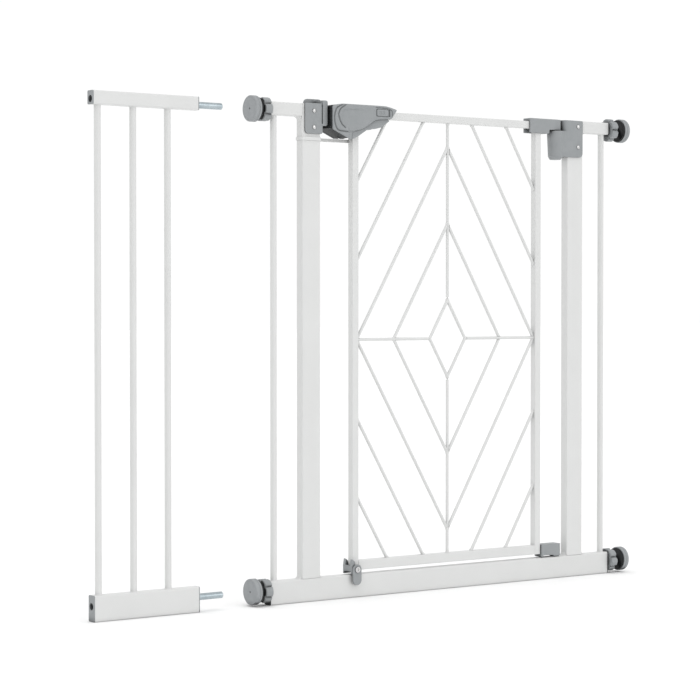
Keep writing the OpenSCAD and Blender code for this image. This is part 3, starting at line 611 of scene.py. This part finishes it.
def coil_piece(node, name, axis, wire_mm, turns):
    """A helical spring in the place of a plain sleeve."""
    low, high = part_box(node)
    centre = (low + high) / 2
    index = max(range(3), key=lambda i: abs(axis[i]))
    across = [i for i in range(3) if i != index]
    radius = min(high[i] - low[i] for i in across) / 2 / MM - wire_mm / 2
    length = (high[index] - low[index]) / MM - wire_mm
    start = centre - Vector(axis) * length / 2 * MM
    place = axis_along(start, axis)
    bm = bmesh.new()
    steps = turns * STEPS_A_TURN
    rings = []
    for k in range(steps + 1):
        turn = 2 * math.pi * turns * k / steps
        middle = Vector((radius * math.cos(turn), radius * math.sin(turn), length * k / steps))
        out = Vector((math.cos(turn), math.sin(turn), 0))
        ring = []
        for i in range(COIL_SIDES):
            roll = 2 * math.pi * i / COIL_SIDES
            ring.append(bm.verts.new(place @ (
                middle + wire_mm / 2 * (out * math.cos(roll) + Vector((0, 0, 1)) * math.sin(roll)))))
        rings.append(ring)
    skin_rings(bm, rings)
    return stand_in(new_piece(name, bm, "spring_steel"), node)


def add_bead(bm, point, direction, seed):
    """A weld bead round a bar where it meets a flat face; direction points away from the face."""
    outer_r, root_r = BAR_R_MM + BEAD_MM, BAR_R_MM - BEAD_ROOT_MM
    stations = [(-BEAD_ROOT_MM, root_r), (-BEAD_ROOT_MM, outer_r)]
    add_arc(stations, (BEAD_MM, outer_r), BEAD_MM, 180, 270, 6)
    stations.append((BEAD_MM + 0.2, root_r))

    def lumpy(r, turn, along):
        wave = 0.18 * math.sin(7 * turn + seed) + 0.12 * math.sin(11 * turn + 2 * seed)
        return r + wave * max(0.0, (r - BAR_R_MM) / BEAD_MM)

    add_revolved(bm, stations, axis_along(point, direction), segments=40, radius=lumpy)


def add_nugget(bm, point, seed):
    """A small lump of coated weld where two thin rods meet."""
    made = bmesh.ops.create_icosphere(bm, subdivisions=3, radius=1.0)["verts"]
    for vert in made:
        wobble = 1 + 0.07 * noise.noise(vert.co * 1.7 + Vector((seed, 0, 0)))
        vert.co = Vector(point) + Vector([vert.co[i] * NUGGET_MM[i] * wobble * MM for i in range(3)])


def weld_piece(name, body, beads=(), nuggets=()):
    """One piece of weld beads, given as (point, direction), and nuggets, given as points."""
    bm = bmesh.new()
    for seed, (point, direction) in enumerate(beads):
        add_bead(bm, point, direction, seed)
    for seed, point in enumerate(nuggets):
        add_nugget(bm, point, seed)
    piece = new_piece(name, bm, "white_coat")
    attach(piece, body)
    return piece


def bar_beads(node, bars):
    """Beads at the foot and the head of each upright bar at the given X places."""
    low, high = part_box(node)
    return [bead for x in bars for bead in (((x, 0, low.z), (0, 0, 1)), ((x, 0, high.z), (0, 0, -1)))]


def lattice_joints():
    """Where the rods of the lattice cross, end or meet the door's tubes.

    Diamond k reaches 2k + 1 times as far as the innermost one."""
    low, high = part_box("lattice_straight_rods")
    half_w, half_h = (high.x - low.x) / 2 / MM, (high.z - low.z) / 2 / MM
    inner_low, inner_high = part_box("inner_diamond")
    box_w, box_h = (inner_high.x - inner_low.x) / 2 / MM, (inner_high.z - inner_low.z) / 2 / MM
    slope = box_h / box_w
    tip_w = box_w - ROD_R_MM * math.hypot(1, slope) / slope
    tip_h = tip_w * slope
    spots = []
    for k in range(5):
        w, h = (2 * k + 1) * tip_w, (2 * k + 1) * tip_h
        if k < 3:
            spots += [(min(w, half_w), 0), (0, h)]
        else:
            spots += [(half_w, h * (1 - half_w / w)), (w * (1 - half_h / h), half_h)]
    spots += [(0, half_h)]
    places = sorted({(sx * round(x, 3), sz * round(z, 3))
                     for x, z in spots for sx in (-1, 1) for sz in (-1, 1)})
    return [(LATTICE_CENTRE.x + x * MM, 0, LATTICE_CENTRE.z + z * MM) for x, z in places]


def welds():
    """Beads round the upright bars, and nuggets on the lattice."""
    beads = []
    for node in ("left_outer_bar", "right_outer_bar"):
        low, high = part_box(node)
        beads += bar_beads(node, [(low.x + high.x) / 2])
    weld_piece("frame_welds", "frame", beads)

    low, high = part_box("panel_bars")
    first, last = low.x + BAR_R_MM * MM, high.x - BAR_R_MM * MM
    weld_piece("panel_welds", "extension", bar_beads("panel_bars", [first, (first + last) / 2, last]))

    weld_piece("lattice_welds", "door", nuggets=lattice_joints())


def springs():
    """The two springs, coiled."""
    coil_piece("closer_spring", "closer_coil", (0, 0, 1), 1.6, 14)
    coil_piece("lever_spring", "lever_coil", (0, 1, 0), 1.2, 8)


# ---------- scene ----------

FLOOR_HALF = 30
FLOOR_DROP_MM = 0.2
PAPER_LOW, PAPER_HIGH = (0.93, 0.93, 0.93), (0.95, 0.95, 0.95)
PAPER_CELLS = 3
PAPER_ROUGHNESS, PAPER_SPECULAR = 0.9, 0.1

WORLD_HEIGHTS = (0.2, 0.7)  # where the room's brightness starts and ends its fade, as the sine of the height
WORLD_STRENGTHS = (1.02, 0.72)

LENS_MM, SENSOR_MM = 113.8, 36
CAMERA_AT = (-2.204, -2.774, 0.457)
CAMERA_TILT_DEG, CAMERA_TURN_DEG = 88.778, -35.988


def paint_cad_nodes():
    """Every CAD node that stays takes its slot's material."""
    for name, node in frame["nodes"].items():
        node.data.materials.clear()
        node.data.materials.append(MATERIALS[SLOT_OF[name]])


def make_floor():
    """A wide pale floor."""
    bm = bmesh.new()
    bmesh.ops.create_grid(bm, x_segments=8, y_segments=8, size=FLOOR_HALF)
    floor = new_piece("floor", bm, "white_coat")
    made = bpy.data.materials.new("floor_paper")
    made.use_nodes = True
    tree = made.node_tree
    shader = tree.nodes["Principled BSDF"]
    coords = tree.nodes.new("ShaderNodeTexCoord").outputs["Object"]
    mottle = ranged(tree, noise_texture(tree, coords, PAPER_CELLS), 0, 1)
    tint = tinted(tree, mottle, PAPER_LOW, PAPER_HIGH)
    tree.links.new(tint, shader.inputs["Base Color"])
    shader.inputs["Roughness"].default_value = PAPER_ROUGHNESS
    shader.inputs["Specular IOR Level"].default_value = PAPER_SPECULAR
    floor.data.materials[0] = made
    floor.location.z = -FLOOR_DROP_MM * MM


def sun(name, towards, strength, spread_deg):
    """A wide soft sun that shines along towards."""
    lamp = bpy.data.lights.new(name, "SUN")
    lamp.energy = strength
    lamp.angle = math.radians(spread_deg)
    light = bpy.data.objects.new(name, lamp)
    light.rotation_euler = Vector(towards).to_track_quat("-Z", "Y").to_euler()
    bpy.context.scene.collection.objects.link(light)


def make_light():
    """A white room, brighter at the horizon than overhead, and two soft suns, from above and from the front."""
    world = bpy.data.worlds.new("white_room")
    bpy.context.scene.world = world
    world.use_nodes = True
    tree = world.node_tree
    coords = tree.nodes.new("ShaderNodeTexCoord")
    parts = tree.nodes.new("ShaderNodeSeparateXYZ")
    tree.links.new(coords.outputs["Generated"], parts.inputs["Vector"])
    fade = tree.nodes.new("ShaderNodeMapRange")
    fade.inputs["From Min"].default_value, fade.inputs["From Max"].default_value = WORLD_HEIGHTS
    fade.inputs["To Min"].default_value, fade.inputs["To Max"].default_value = WORLD_STRENGTHS
    tree.links.new(parts.outputs["Z"], fade.inputs["Value"])
    tree.links.new(fade.outputs["Result"], tree.nodes["Background"].inputs["Strength"])
    tree.nodes["Background"].inputs["Color"].default_value = (1, 1, 1, 1)
    sun("overhead", (0.12, 0.1, -1), 1.05, 70)
    sun("front", (-0.45, 1, -0.45), 0.35, 40)


def make_camera():
    """A long lens at the height of the gate's middle, seen from the front left."""
    data = bpy.data.cameras.new("camera")
    data.sensor_width = SENSOR_MM
    data.lens = LENS_MM
    camera = bpy.data.objects.new("camera", data)
    camera.location = CAMERA_AT
    camera.rotation_euler = (math.radians(CAMERA_TILT_DEG), 0, math.radians(CAMERA_TURN_DEG))
    bpy.context.scene.collection.objects.link(camera)
    bpy.context.scene.camera = camera
    bpy.context.scene.view_settings.view_transform = "Standard"


make_camera()
make_light()
make_floor()
paint_cad_nodes()
plastic_pieces()
mounts()
springs()
welds()
